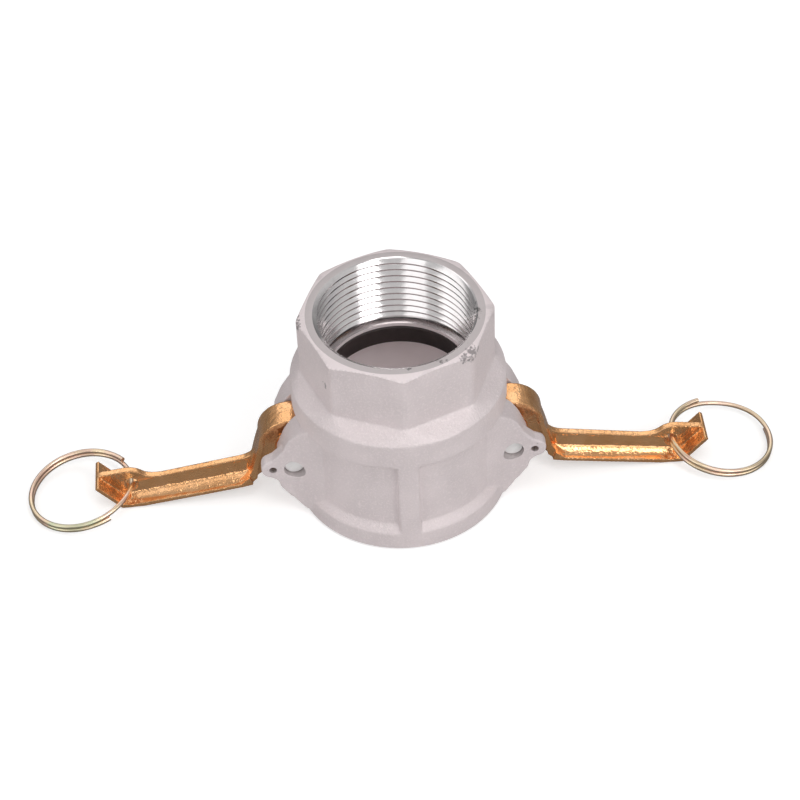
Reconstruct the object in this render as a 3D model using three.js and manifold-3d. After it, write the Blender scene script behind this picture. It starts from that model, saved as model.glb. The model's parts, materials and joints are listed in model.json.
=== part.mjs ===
// Camlock coupling, female coupler to female pipe thread, 1-1/2 inch size.
// Millimetres. +Z runs from the mouth rim (z = 0) up to the threaded end.
// The origin is the centre of the mouth rim, and +X runs along the right-hand cam arm.
import * as THREE from 'three';
import { mergeVertices } from 'three/addons/utils/BufferGeometryUtils.js';
import Module from 'manifold-3d';

const wasm = await Module();
wasm.setup();

// Driving dimensions of the body
const HEIGHT = 65;
const SOCKET_R = 26.95;
const RIM_R = 31.4;
const RIM_TOP = 6.15;
const POCKET_R = 29.5;
const POCKET_FLOOR = 9.2;
const COLLAR_BOTTOM = 34;
const POCKET_TOP = 31.8;
const COLLAR_TOP = 42;
const COLLAR_R = 31.3;
const FRONT_RIB_WIDTH = 5.7;
const OCTAGON_CORNER_R = 28.4;
const OCTAGON_BASE = 45.8;
const FACE_R = 25.5;
const CORNER_DROP = 0.9;
const ROUND_SEGMENTS = 64;

// Pipe thread, modelled as plain grooves one pitch apart
const THREAD_CREST_R = 22.42;
const THREAD_ROOT_R = 23.9;
const THREAD_PITCH = 2.309;
const THREAD_TURNS = 8;
const THREAD_BOTTOM = 41.4;
const MOUTH_CHAMFER_R = 23.3;

// Gasket and its groove
const GASKET_INNER_R = 20.65;
const GASKET_OUTER_R = 27.8;
const GASKET_BOTTOM = 33.6;
const GASKET_THICKNESS = 6.35;
const WATERWAY_R = 20.8;
const FIT_GAP = 0.3;

// Cam arm pivots, ears and pins
const PIVOT_X = 32;
const PIVOT_Z = 18.2;
const EAR_OUTER_Y = 12.9;
const EAR_ROOT_Y = 18.6;
const SLOT_HALF = 5;
const WINDOW_BOTTOM = 6.5;
const WINDOW_TOP = 31;
const PIN_R = 3;
const PIN_RECESS = 1.5;
const LUG_X = 38.3;
const LUG_Z = 18.3;
const LUG_R = 3.4;
const LUG_INNER_Y = 9;
const CLIP_HOLE_R = 1.15;

// Cam arm, drawn in its open position
const CAM_HALF = 4.4;
const WEB_HALF = 3;
const CAM_X = 32.5;
const CAM_Z = 19.5;
const CAM_R = 9.6;
const CAM_FLAT_X = 27.3;
const STRAP = 1.6;
const HUB_R = 5.2;
const FLANGE_HALF = 5.65;
const FLANGE = 1.7;
const RIB_HALF = 1.05;
const RING_HOLE_X = 81;
const RING_HOLE_Z = 5.5;
const RING_HOLE_R = 2.25;
const ARM_CLOSING_ANGLE = THREE.MathUtils.degToRad(99.5);

// Split pull ring, two turns of round wire
const RING_MEAN_R = 15.2;
const WIRE_R = 0.7;
const TURN_SPACING = 1.46;
const CROSSOVER_HALF_ANGLE = 0.6;
const WIRE_ARC_TURNS = 1.75;
const RIGHT_RING_SPLIT = THREE.MathUtils.degToRad(61.5);
const LEFT_RING_SPLIT = THREE.MathUtils.degToRad(169);
const RING_TILT = Math.asin((RING_HOLE_Z - WIRE_R - TURN_SPACING / 2) / (2 * RING_MEAN_R));

// Finishes
const CAST_ALUMINIUM = { color: 0xc4bcbb, roughness: 0.55, metalness: 0.85 };
const BLACK_RUBBER = { color: 0x2b2426, roughness: 0.75, metalness: 0 };
const GOLD_BRASS = { color: 0xc98345, roughness: 0.25, metalness: 1 };
const BRIGHT_STEEL = { color: 0xd8d6d4, roughness: 0.25, metalness: 1 };
const YELLOW_ZINC = { color: 0xb9a17c, roughness: 0.3, metalness: 1 };

// A closed geometry becomes a solid that can be joined and cut
function solid(geometry) {
  const bare = geometry.clone();
  bare.deleteAttribute('normal');
  bare.deleteAttribute('uv');
  const merged = mergeVertices(bare, 1e-5);
  return new wasm.Manifold(new wasm.Mesh({
    numProp: 3,
    vertProperties: new Float32Array(merged.attributes.position.array),
    triVerts: new Uint32Array(merged.index.array),
  }));
}

function join(solids) {
  return solids.reduce((whole, piece) => whole.add(piece));
}

function mesh(name, shape, finish) {
  const cut = shape.getMesh();
  const geometry = new THREE.BufferGeometry();
  geometry.setAttribute('position', new THREE.BufferAttribute(new Float32Array(cut.vertProperties), 3));
  geometry.setIndex(new THREE.BufferAttribute(new Uint32Array(cut.triVerts), 1));
  geometry.computeVertexNormals();
  const piece = new THREE.Mesh(geometry, new THREE.MeshStandardMaterial(finish));
  piece.name = name;
  return piece;
}

// A profile of [radius, z] points turned about the Z axis
function revolve(profile, segments = ROUND_SEGMENTS) {
  const points = profile.map(([radius, z]) => new THREE.Vector2(radius, z));
  return solid(new THREE.LatheGeometry(points, segments).rotateX(Math.PI / 2));
}

// An outline in the XZ plane, given a thickness from low to high along Y
function plate(outline, low, high, curveSegments = 12) {
  const geometry = new THREE.ExtrudeGeometry(outline, {
    depth: high - low,
    bevelEnabled: false,
    curveSegments,
  });
  return solid(geometry.rotateX(Math.PI / 2).translate(0, high, 0));
}

function polygon(points) {
  return new THREE.Shape(points.map(([x, z]) => new THREE.Vector2(x, z)));
}

function block(low, high) {
  const size = high.map((value, axis) => value - low[axis]);
  const middle = high.map((value, axis) => (value + low[axis]) / 2);
  return solid(new THREE.BoxGeometry(...size).translate(...middle));
}

// A round bar along Y
function bar(x, z, radius, half, segments = 24) {
  return solid(new THREE.CylinderGeometry(radius, radius, 2 * half, segments).translate(x, 0, z));
}

// Both copies of a shape, the second turned half a turn about the Z axis
function pair(shape) {
  return shape.add(shape.rotate([0, 0, 180]));
}

// Cup, collar and sloping shoulder, without the bore
function cup() {
  return revolve([
    [0, 0],
    [RIM_R - 0.5, 0],
    [RIM_R, 0.5],
    [RIM_R, RIM_TOP],
    [COLLAR_R, COLLAR_TOP],
    [FACE_R, OCTAGON_BASE + 0.4],
    [0, OCTAGON_BASE + 0.4],
  ]);
}

// The recess round the cup, left standing where the front and rear ribs are
function pockets() {
  const outside = RIM_R + 4;
  const recess = revolve([
    [RIM_R + 0.02, RIM_TOP],
    [outside, RIM_TOP],
    [outside, COLLAR_BOTTOM],
    [COLLAR_R, COLLAR_BOTTOM],
    [POCKET_R, POCKET_TOP],
    [POCKET_R, POCKET_FLOOR],
    [RIM_R + 0.02, RIM_TOP],
  ]);
  const half = FRONT_RIB_WIDTH / 2;
  return recess.subtract(block([-half, -outside, 0], [half, outside, HEIGHT]));
}

function octagon() {
  const corners = [];
  for (let corner = 0; corner < 8; corner += 1) {
    const angle = corner * Math.PI / 4;
    corners.push([OCTAGON_CORNER_R * Math.cos(angle), OCTAGON_CORNER_R * Math.sin(angle)]);
  }
  const bottom = OCTAGON_BASE - 3;
  const prism = solid(new THREE.ExtrudeGeometry(polygon(corners), {
    depth: HEIGHT - bottom,
    bevelEnabled: false,
  }).translate(0, 0, bottom));
  const chamfer = revolve([
    [0, bottom],
    [OCTAGON_CORNER_R + 1, bottom],
    [OCTAGON_CORNER_R + 1, HEIGHT - CORNER_DROP * (OCTAGON_CORNER_R + 1 - FACE_R)
      / (OCTAGON_CORNER_R - FACE_R)],
    [FACE_R, HEIGHT],
    [0, HEIGHT],
  ]);
  return prism.intersect(chamfer);
}

// Plan view of one ear, which flares out where it meets the cup
function earPlan() {
  const plan = polygon([
    [22, SLOT_HALF],
    [38, SLOT_HALF],
    [38, EAR_OUTER_Y],
    [32.5, EAR_OUTER_Y],
    [27, 15.7],
    [22, EAR_ROOT_Y],
  ]);
  return solid(new THREE.ExtrudeGeometry(plan, { depth: HEIGHT, bevelEnabled: false }));
}

// The pair of ears on the right-hand side
function ears() {
  const outline = new THREE.Shape();
  outline.moveTo(23, 36);
  outline.lineTo(27, 35);
  outline.lineTo(30, 32.8);
  outline.quadraticCurveTo(33, 30.3, 34.6, 26.6);
  outline.lineTo(36.6, 21.5);
  outline.lineTo(37.1, 14);
  outline.lineTo(36.4, 10.9);
  outline.lineTo(33.9, 7.1);
  outline.lineTo(29.7, 2.4);
  outline.lineTo(23, 2.4);
  const rear = plate(outline, SLOT_HALF, EAR_ROOT_Y).intersect(earPlan());
  return rear.add(rear.mirror([0, 1, 0]));
}

// Thin lugs for safety clips, on the two front ears only
function clipLugs() {
  const outline = new THREE.Shape();
  outline.absarc(LUG_X, LUG_Z, LUG_R, 0, 2 * Math.PI, false);
  const right = plate(outline, -EAR_OUTER_Y, -LUG_INNER_Y);
  return right.add(right.mirror([1, 0, 0]));
}

// Everything that is bored out of the body from the two ends
function bore() {
  const gasketTop = GASKET_BOTTOM + GASKET_THICKNESS;
  const profile = [
    [0, -1],
    [SOCKET_R + 1.8, -1],
    [SOCKET_R, 0.8],
    [SOCKET_R, GASKET_BOTTOM - FIT_GAP],
    [GASKET_OUTER_R + FIT_GAP, GASKET_BOTTOM - FIT_GAP],
    [GASKET_OUTER_R + FIT_GAP, gasketTop + FIT_GAP],
    [WATERWAY_R, gasketTop + FIT_GAP],
    [WATERWAY_R, THREAD_BOTTOM],
    [THREAD_ROOT_R, THREAD_BOTTOM],
  ];
  const firstGroove = HEIGHT - 0.9 - THREAD_TURNS * THREAD_PITCH;
  profile.push([THREAD_ROOT_R, firstGroove - 1.4]);
  for (let turn = 0; turn < THREAD_TURNS; turn += 1) {
    const z = firstGroove + turn * THREAD_PITCH;
    profile.push([THREAD_CREST_R, z]);
    profile.push([THREAD_ROOT_R, z + THREAD_PITCH / 2]);
  }
  profile.push([THREAD_CREST_R, HEIGHT - 0.9]);
  profile.push([MOUTH_CHAMFER_R, HEIGHT]);
  profile.push([MOUTH_CHAMFER_R, HEIGHT + 1]);
  profile.push([0, HEIGHT + 1]);
  return revolve(profile);
}

// The window and slot that one cam arm swings through
function armSlot() {
  const reach = LUG_X + LUG_R + 2;
  const window = block([20, -SLOT_HALF, WINDOW_BOTTOM], [reach, SLOT_HALF, WINDOW_TOP]);
  const belowWindow = block([RIM_R + 0.4, -SLOT_HALF, 0], [reach, SLOT_HALF, WINDOW_TOP]);
  return window.add(belowWindow);
}

function couplerBody() {
  const casting = join([cup().subtract(pockets()), octagon(), pair(ears()), clipLugs()]);
  const holes = join([
    bar(PIVOT_X, PIVOT_Z, PIN_R + FIT_GAP, EAR_OUTER_Y + 1),
    bar(LUG_X, LUG_Z, CLIP_HOLE_R, EAR_OUTER_Y + 1, 12),
    armSlot(),
  ]);
  return mesh('coupler_body', casting.subtract(pair(holes)).subtract(bore()), CAST_ALUMINIUM);
}

function gasket() {
  const top = GASKET_BOTTOM + GASKET_THICKNESS;
  const ring = revolve([
    [GASKET_INNER_R, GASKET_BOTTOM],
    [GASKET_OUTER_R, GASKET_BOTTOM],
    [GASKET_OUTER_R, top],
    [GASKET_INNER_R, top],
    [GASKET_INNER_R, GASKET_BOTTOM],
  ]);
  return mesh('gasket', ring, BLACK_RUBBER);
}

// Side outline of the cam head: a flat towards the socket and a round cam face on top
function camHead() {
  const flatAngle = Math.acos((CAM_FLAT_X - CAM_X) / CAM_R);
  const outline = new THREE.Shape();
  outline.moveTo(CAM_FLAT_X, 12.4);
  outline.lineTo(CAM_FLAT_X, CAM_Z + CAM_R * Math.sin(flatAngle));
  outline.absarc(CAM_X, CAM_Z, CAM_R, flatAngle, 0, true);
  outline.quadraticCurveTo(43.4, 15.4, 44.4, 11);
  outline.quadraticCurveTo(45.2, 7.6, 48.4, 6.2);
  outline.lineTo(48, 4.55);
  outline.lineTo(44.6, 5.3);
  outline.quadraticCurveTo(40.5, 9.4, 36, 10.3);
  outline.quadraticCurveTo(30.5, 9.4, CAM_FLAT_X, 12.4);
  return outline;
}

// The part of the head that lies inside its rim
function headRecess() {
  const inner = CAM_R - STRAP;
  const outline = new THREE.Shape();
  outline.moveTo(24, 6);
  outline.lineTo(24, CAM_Z + inner);
  outline.lineTo(CAM_X, CAM_Z + inner);
  outline.absarc(CAM_X, CAM_Z, inner, Math.PI / 2, 0, true);
  outline.quadraticCurveTo(41.8, 15, 42.7, 10.8);
  outline.quadraticCurveTo(43, 8, 44, 3);
  return outline;
}

// Flat strap of the lever with its upturned tip
function leverFlange() {
  return polygon([
    [44.6, 5.3],
    [48, 4.55],
    [59, 2.85],
    [77.6, 0.1],
    [81, 0],
    [84.2, 0],
    [91.3, 8.6],
    [89.99, 9.68],
    [83.4, FLANGE],
    [80.8, FLANGE],
    [59.2, 4.55],
    [48.4, 6.2],
    [45.6, 8.2],
  ]);
}

// Thin upright rib that stiffens the lever and carries the ring hole
function leverRib() {
  const outline = new THREE.Shape();
  outline.moveTo(44, 10);
  outline.lineTo(43.6, 14.6);
  outline.quadraticCurveTo(45, 12.4, 48.2, 11.8);
  outline.lineTo(71.5, 7.75);
  outline.quadraticCurveTo(75.2, 7.2, 77.4, 8.9);
  outline.quadraticCurveTo(79.6, 10.8, 82.5, 10.5);
  outline.lineTo(89.9, 9.5);
  outline.lineTo(84, 1);
  outline.lineTo(60, 3.4);
  outline.lineTo(46, 6);
  return outline;
}

function camArm(name, turn) {
  const headPlate = plate(camHead(), -CAM_HALF, CAM_HALF, 16);
  const recess = plate(headRecess(), WEB_HALF, CAM_HALF + 1, 16);
  const hub = bar(PIVOT_X, PIVOT_Z, HUB_R, CAM_HALF).intersect(headPlate);
  const head = headPlate.subtract(recess).subtract(recess.mirror([0, 1, 0])).add(hub);
  const lever = plate(leverFlange(), -FLANGE_HALF, FLANGE_HALF);
  const rib = plate(leverRib(), -RIB_HALF, RIB_HALF);
  const ringHole = bar(RING_HOLE_X, RING_HOLE_Z, RING_HOLE_R, 3, 20);
  const pinHole = bar(PIVOT_X, PIVOT_Z, PIN_R + FIT_GAP, EAR_OUTER_Y);
  const clipOffset = new THREE.Vector2(LUG_X - PIVOT_X, LUG_Z - PIVOT_Z);
  clipOffset.rotateAround(new THREE.Vector2(), -ARM_CLOSING_ANGLE);
  const clipHole = bar(PIVOT_X + clipOffset.x, PIVOT_Z + clipOffset.y, CLIP_HOLE_R, EAR_OUTER_Y, 12);
  const arm = join([head, lever, rib]).subtract(join([ringHole, pinHole, clipHole]));
  const piece = mesh(name, arm, GOLD_BRASS);
  piece.rotation.z = turn;
  return piece;
}

function pivotPin(name, turn) {
  const pin = bar(PIVOT_X, PIVOT_Z, PIN_R, EAR_OUTER_Y - PIN_RECESS);
  const piece = mesh(name, pin, BRIGHT_STEEL);
  piece.rotation.z = turn;
  return piece;
}

// Centre line of a two-turn split ring that crosses from one turn to the other
class SplitRingCurve extends THREE.Curve {
  getPoint(t, target = new THREE.Vector3()) {
    const angle = 2 * Math.PI * WIRE_ARC_TURNS * (t - 0.5);
    const side = 0.5 - THREE.MathUtils.smoothstep(angle, -CROSSOVER_HALF_ANGLE, CROSSOVER_HALF_ANGLE);
    return target.set(RING_MEAN_R * Math.cos(angle), RING_MEAN_R * Math.sin(angle), TURN_SPACING * side);
  }
}

function pullRing(name, turn, split) {
  const section = new THREE.Shape();
  section.absarc(0, 0, WIRE_R, 0, 2 * Math.PI, false);
  const wire = new THREE.ExtrudeGeometry(section, {
    steps: 80,
    curveSegments: 4,
    bevelEnabled: false,
    extrudePath: new SplitRingCurve(),
  });
  const piece = mesh(name, solid(wire), YELLOW_ZINC);
  piece.rotation.z = split;
  piece.position.x = RING_MEAN_R;
  const tilt = new THREE.Group();
  tilt.add(piece);
  tilt.rotation.y = RING_TILT;
  tilt.position.set(RING_HOLE_X, 0, RING_HOLE_Z);
  const side = new THREE.Group();
  side.add(tilt);
  side.rotation.z = turn;
  return side;
}

const coupling = new THREE.Group();
coupling.add(couplerBody());
coupling.add(gasket());
for (const [side, turn, split] of [['right', 0, RIGHT_RING_SPLIT], ['left', Math.PI, LEFT_RING_SPLIT]]) {
  coupling.add(camArm(`${side}_cam_arm`, turn));
  coupling.add(pivotPin(`${side}_pivot_pin`, turn));
  coupling.add(pullRing(`${side}_pull_ring`, turn, split));
}

export default coupling;
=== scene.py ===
"""Camlock coupling with a threaded end, two cam arms and their pull rings.

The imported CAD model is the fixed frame. Each operator below makes one piece, or a group of
like pieces, around it. Outlines are in millimetres, in the frame's own axes: +Z runs from the
mouth rim up to the threaded end and +X along the right-hand cam arm.
"""

import json
import math

import bmesh
import bpy
from mathutils import Matrix, Vector


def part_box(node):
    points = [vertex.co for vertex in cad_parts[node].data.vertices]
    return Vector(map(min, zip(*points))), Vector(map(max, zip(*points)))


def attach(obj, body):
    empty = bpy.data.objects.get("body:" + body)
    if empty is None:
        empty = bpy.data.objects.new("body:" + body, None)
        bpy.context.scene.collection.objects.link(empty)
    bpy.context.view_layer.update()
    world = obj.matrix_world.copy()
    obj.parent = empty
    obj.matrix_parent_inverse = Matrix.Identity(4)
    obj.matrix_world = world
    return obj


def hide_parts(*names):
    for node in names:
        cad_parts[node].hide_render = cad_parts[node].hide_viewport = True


bl_info = {
    "name": "Camlock Coupling",
    "version": (1, 0, 0),
    "blender": (4, 5, 0),
    "location": "3D View > Sidebar > Camlock",
    "description": "Models a cam and groove coupler around its packed frame",
    "category": "Add Mesh",
}

bpy.ops.object.select_all(action="DESELECT")
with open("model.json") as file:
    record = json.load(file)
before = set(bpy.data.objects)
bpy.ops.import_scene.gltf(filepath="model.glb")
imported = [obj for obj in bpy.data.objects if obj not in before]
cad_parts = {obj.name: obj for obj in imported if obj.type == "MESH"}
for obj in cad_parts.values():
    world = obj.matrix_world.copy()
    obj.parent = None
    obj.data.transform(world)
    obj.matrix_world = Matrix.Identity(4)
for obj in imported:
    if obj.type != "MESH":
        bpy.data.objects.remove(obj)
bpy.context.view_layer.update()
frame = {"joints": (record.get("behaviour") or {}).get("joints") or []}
JOINTS = {joint["name"]: joint for joint in frame["joints"]}
MM = 0.001
MERGE = 1e-6

# Driving places and sizes, read from the frame
PIVOT = Vector(JOINTS["right_arm_hinge"]["pos_m"]) / MM
RING_HOLE = Vector(JOINTS["right_ring_hinge"]["pos_m"]) / MM
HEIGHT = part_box("coupler_body")[1].z / MM
RIM_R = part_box("coupler_body")[1].y / MM
GASKET_LOW, GASKET_HIGH = (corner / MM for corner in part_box("gasket"))
PIN_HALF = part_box("right_pivot_pin")[1].y / MM
ARM_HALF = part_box("right_cam_arm")[1].y / MM

# Body, millimetres
SOCKET_R = 26.95
RIM_TOP = 6.15
POCKET_R = 29.5
POCKET_LOW = 9.2
POCKET_HIGH = 31.8
RIB_ROOT, RIB_CREST = 3.4, 2.4
RIB_INNER_Y = 27
COLLAR_LOW = 34
COLLAR_HIGH = 42
COLLAR_R = RIM_R - 0.1
OCTAGON_R = 28.4
OCTAGON_LOW = 45.8
FACE_R = 25.5
CORNER_DROP = 1.25
OCTAGON_ROUND = 1.1
THREAD_LOW = 41.4
THREAD_CREST_R = 22.2
THREAD_TOOTH_R = 21.9
RELIEF_R = 23.9
RELIEF_HIGH = 43.2
THREAD_HIGH = HEIGHT - 0.8
WATERWAY_R = 20.8
MOUTH_R = 23.4
GAP = 0.3
EAR_INNER_Y = 5
EAR_OUTER_Y = PIN_HALF + 1.5
EAR_ROOT_Y = 18.6
WINDOW_INNER_X = 20
WINDOW_LOW = 6.5
WINDOW_HIGH = 31
LUG = (PIVOT.x + 6.3, PIVOT.z + 0.1)
LUG_R = 3.4
LUG_INNER_Y = 9
CLIP_HOLE_R = 1.15
PIN_R = 3.0
PIN_HOLE_R = 3.12
GASKET_BORE_R = 20.65
ROUND_STEPS = 128
BODY_KEEP = 0.36

# Cam arm, millimetres
CAM_HALF = 4.4
ARM_KEEP = 0.45
WEB_HALF = 3
CAM_CENTRE = (32.5, 19.5)
CAM_R = 9.6
CAM_FLAT_X = 27.3
STRAP = 1.6
HUB_R = 5.2
RIB_HALF = 1.05
RING_HOLE_R = 2.25
CLOSING_TURN = math.radians(JOINTS["right_arm_hinge"]["range_deg"][1])

# Split ring, millimetres
RING_R = 15.2
TURN_SPACING = 1.46
CROSSOVER = 0.6
WIRE_TURNS = 1.75
END_SPRING = 0.35
END_TURN = 0.5
RING_SPLITS = {"right": math.radians(61.5), "left": math.radians(169)}

# Knocks on the body, each a place and a radius in millimetres
SCUFFS = [
    ((20.2, -18.6, 64.2), 2.1),
    ((17.6, -20.6, 64.4), 1.5),
    ((22.3, -16.4, 63.6), 1.1),
    ((10.6, -21.9, 65.0), 0.8),
    ((12.6, -21.4, 64.8), 0.6),
    ((2.1, -23.8, 65.0), 0.6),
    ((-8.0, -24.4, 64.4), 0.6),
    ((-27.6, -1.4, 63.6), 1.4),
    ((-28.0, 1.6, 63.8), 1.1),
    ((-22.2, -17.2, 55.0), 1.3),
    ((-23.6, -15.6, 56.8), 0.8),
    ((22.7, -1.5, 64.2), 1.5),
    ((22.6, -4.5, 64.0), 1.1),
    ((22.5, 1.6, 64.2), 0.9),
    ((31.8, -14.4, 11.9), 0.9),
    ((LUG[0], -10.6, LUG[1]), 2.0),
    ((-LUG[0], -10.6, LUG[1]), 2.0),
]


# ---------------------------------------------------------------- modelling helpers


def select_only(*pieces):
    bpy.ops.object.select_all(action="DESELECT")
    for piece in pieces:
        piece.select_set(True)
    bpy.context.view_layer.objects.active = pieces[0]


def settle(piece):
    """Puts the piece's place, turn and scale into its mesh."""
    select_only(piece)
    bpy.ops.object.transform_apply(location=True, rotation=True, scale=True)
    return piece


def chain(name, points):
    """A wire through points in millimetres, drawn by extruding one vertex. Stays in edit mode."""
    places = [Vector(point) * MM for point in points]
    bpy.ops.object.select_all(action="DESELECT")
    bpy.ops.mesh.primitive_plane_add(size=MM)
    piece = bpy.context.object
    piece.name = name
    bpy.ops.object.mode_set(mode="EDIT")
    bpy.ops.mesh.select_all(action="SELECT")
    bpy.ops.mesh.merge(type="CENTER")
    bpy.ops.transform.translate(value=places[0])
    for here, there in zip(places, places[1:]):
        bpy.ops.mesh.extrude_vertices_move(TRANSFORM_OT_translate={"value": there - here})
    bpy.ops.mesh.select_all(action="SELECT")
    bpy.ops.mesh.remove_doubles(threshold=MERGE)
    return piece


def close_mesh():
    """Merges doubles, faces the mesh outwards and leaves edit mode."""
    bpy.ops.mesh.select_all(action="SELECT")
    bpy.ops.mesh.remove_doubles(threshold=MERGE)
    bpy.ops.mesh.normals_make_consistent(inside=False)
    bpy.ops.object.mode_set(mode="OBJECT")


def prism(name, points, depth):
    """A flat outline of points, filled and extruded by depth."""
    piece = chain(name, [*points, points[0]])
    bpy.ops.mesh.edge_face_add()
    bpy.ops.mesh.extrude_region_move(TRANSFORM_OT_translate={"value": Vector(depth) * MM})
    close_mesh()
    return piece


def plate(name, outline, low, high):
    """An outline of (x, z) points, thick from low to high along Y."""
    return prism(name, [(x, low, z) for x, z in outline], (0, high - low, 0))


def turned(name, profile, steps=ROUND_STEPS):
    """A profile of (radius, z) points spun about the Z axis."""
    piece = chain(name, [(radius, 0, z) for radius, z in profile])
    bpy.ops.mesh.spin(steps=steps, angle=2 * math.pi, center=(0, 0, 0), axis=(0, 0, 1))
    close_mesh()
    return piece


def bar(name, place, radius, half, vertices=48):
    """A round bar along Y through the (x, z) place."""
    bpy.ops.object.select_all(action="DESELECT")
    bpy.ops.mesh.primitive_cylinder_add(
        vertices=vertices,
        radius=radius * MM,
        depth=2 * half * MM,
        location=(place[0] * MM, 0, place[1] * MM),
        rotation=(math.pi / 2, 0, 0),
    )
    piece = bpy.context.object
    piece.name = name
    return settle(piece)


def block(name, low, high):
    """A box between two corners."""
    low, high = Vector(low) * MM, Vector(high) * MM
    bpy.ops.object.select_all(action="DESELECT")
    bpy.ops.mesh.primitive_cube_add(size=1, location=(low + high) / 2, scale=high - low)
    piece = bpy.context.object
    piece.name = name
    return settle(piece)


def arc(centre, radius, start, end, count=12):
    """Points on a circle between two angles in degrees."""
    turns = [math.radians(start + (end - start) * step / count) for step in range(count + 1)]
    return [(centre[0] + radius * math.cos(a), centre[1] + radius * math.sin(a)) for a in turns]


def curve_to(start, control, end, count=8):
    """Points of a quadratic curve, without its first one."""
    points = []
    for step in range(1, count + 1):
        t = step / count
        weights = ((1 - t) ** 2, 2 * t * (1 - t), t * t)
        corners = (start, control, end)
        points.append(tuple(sum(w * c[i] for w, c in zip(weights, corners)) for i in (0, 1)))
    return points


def apply_modifier(piece, kind, **settings):
    modifier = piece.modifiers.new(kind.title(), kind)
    for name, value in settings.items():
        setattr(modifier, name, value)
    select_only(piece)
    bpy.ops.object.modifier_apply(modifier=modifier.name)


def combine(piece, tool, operation):
    """A boolean of piece with tool, which is used up."""
    apply_modifier(
        piece,
        "BOOLEAN",
        object=tool,
        operation=operation,
        solver="EXACT",
        material_mode="TRANSFER",
    )
    bpy.data.objects.remove(tool)
    if not piece.data.polygons:
        raise RuntimeError(f"{piece.name} vanished in a boolean")
    return piece


def cut(piece, *tools):
    for tool in tools:
        combine(piece, tool, "DIFFERENCE")
    return piece


def join(*pieces):
    select_only(*pieces)
    bpy.ops.object.join()
    return pieces[0]


def half_turn_copy(piece, name):
    """A copy with its own mesh, half a turn round the Z axis."""
    copy = piece.copy()
    copy.data = piece.data.copy()
    copy.name = name
    bpy.context.collection.objects.link(copy)
    copy.rotation_euler.z = math.pi
    return settle(copy)


def mirrored_copy(piece):
    """A copy with its own mesh, mirrored across the XZ plane and facing outwards."""
    copy = piece.copy()
    copy.data = piece.data.copy()
    bpy.context.collection.objects.link(copy)
    copy.scale.y = -1
    settle(copy)
    bpy.ops.object.mode_set(mode="EDIT")
    close_mesh()
    return copy


def cast_skin(piece, grid, rounds, keep):
    """Gives joined blanks one skin with the soft inside and outside corners of a casting."""
    apply_modifier(piece, "REMESH", mode="VOXEL", voxel_size=grid)
    apply_modifier(piece, "SMOOTH", factor=0.5, iterations=rounds)
    apply_modifier(piece, "DECIMATE", ratio=keep)


def smooth_sides(piece, angle=32):
    select_only(piece)
    bpy.ops.object.shade_smooth_by_angle(angle=math.radians(angle))


def finish_piece(piece, body, node):
    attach(piece, body)
    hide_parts(node)


# ---------------------------------------------------------------- shader node groups


def new_group(name, inputs, outputs):
    """An empty shader node group with float inputs and named outputs."""
    group = bpy.data.node_groups.new(name, "ShaderNodeTree")
    for label, value in inputs.items():
        socket = group.interface.new_socket(label, in_out="INPUT", socket_type="NodeSocketFloat")
        socket.default_value = value
    for label, kind in outputs.items():
        group.interface.new_socket(label, in_out="OUTPUT", socket_type=kind)
    entry = group.nodes.new("NodeGroupInput")
    leave = group.nodes.new("NodeGroupOutput")
    place = group.nodes.new("ShaderNodeTexCoord")
    return group, entry, leave, place.outputs["Object"]


def feed(tree, socket, value):
    """Links an output to the socket, or sets its plain value."""
    if isinstance(value, bpy.types.NodeSocket):
        tree.links.new(value, socket)
    else:
        socket.default_value = value


def noise(group, vector, scale, detail=4.0, roughness=0.55, distortion=0.0):
    node = group.nodes.new("ShaderNodeTexNoise")
    node.inputs["Detail"].default_value = detail
    node.inputs["Roughness"].default_value = roughness
    node.inputs["Distortion"].default_value = distortion
    feed(group, node.inputs["Vector"], vector)
    feed(group, node.inputs["Scale"], scale)
    return node.outputs["Fac"]


def maths(group, operation, first, second=None, clamp=False):
    node = group.nodes.new("ShaderNodeMath")
    node.operation = operation
    node.use_clamp = clamp
    for index, value in enumerate((first, second)):
        if value is not None:
            feed(group, node.inputs[index], value)
    return node.outputs["Value"]


def remap(group, value, low, high, to_low=0.0, to_high=1.0):
    node = group.nodes.new("ShaderNodeMapRange")
    settings = {"Value": value, "From Min": low, "From Max": high}
    settings |= {"To Min": to_low, "To Max": to_high}
    for label, number in settings.items():
        feed(group, node.inputs[label], number)
    return node.outputs["Result"]


def ramp(group, fac, stops):
    """A colour that runs through stops, each a position and a colour."""
    node = group.nodes.new("ShaderNodeValToRGB")
    elements = node.color_ramp.elements
    while len(elements) < len(stops):
        elements.new(0.5)
    for element, (position, colour) in zip(elements, stops):
        element.position = position
        element.color = (*colour, 1.0)
    group.links.new(fac, node.inputs["Fac"])
    return node.outputs["Color"]


def grain_group():
    """Blasted or moulded grain: a height, and a mask of the grain's tops, where the cast finish
    paints sparkle.
    """
    outputs = {"Height": "NodeSocketFloat", "Sparkle": "NodeSocketFloat"}
    group, entry, leave, place = new_group("Fine Grain", {"Scale": 1500.0}, outputs)
    coarse = noise(group, place, entry.outputs["Scale"], detail=3.0, roughness=0.6)
    fine_scale = maths(group, "MULTIPLY", entry.outputs["Scale"], 2.7)
    fine = noise(group, place, fine_scale, detail=2.0)
    height = maths(group, "ADD", coarse, maths(group, "MULTIPLY", fine, 0.5))
    group.links.new(height, leave.inputs["Height"])
    group.links.new(remap(group, coarse, 0.5, 0.7), leave.inputs["Sparkle"])
    return group


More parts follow.
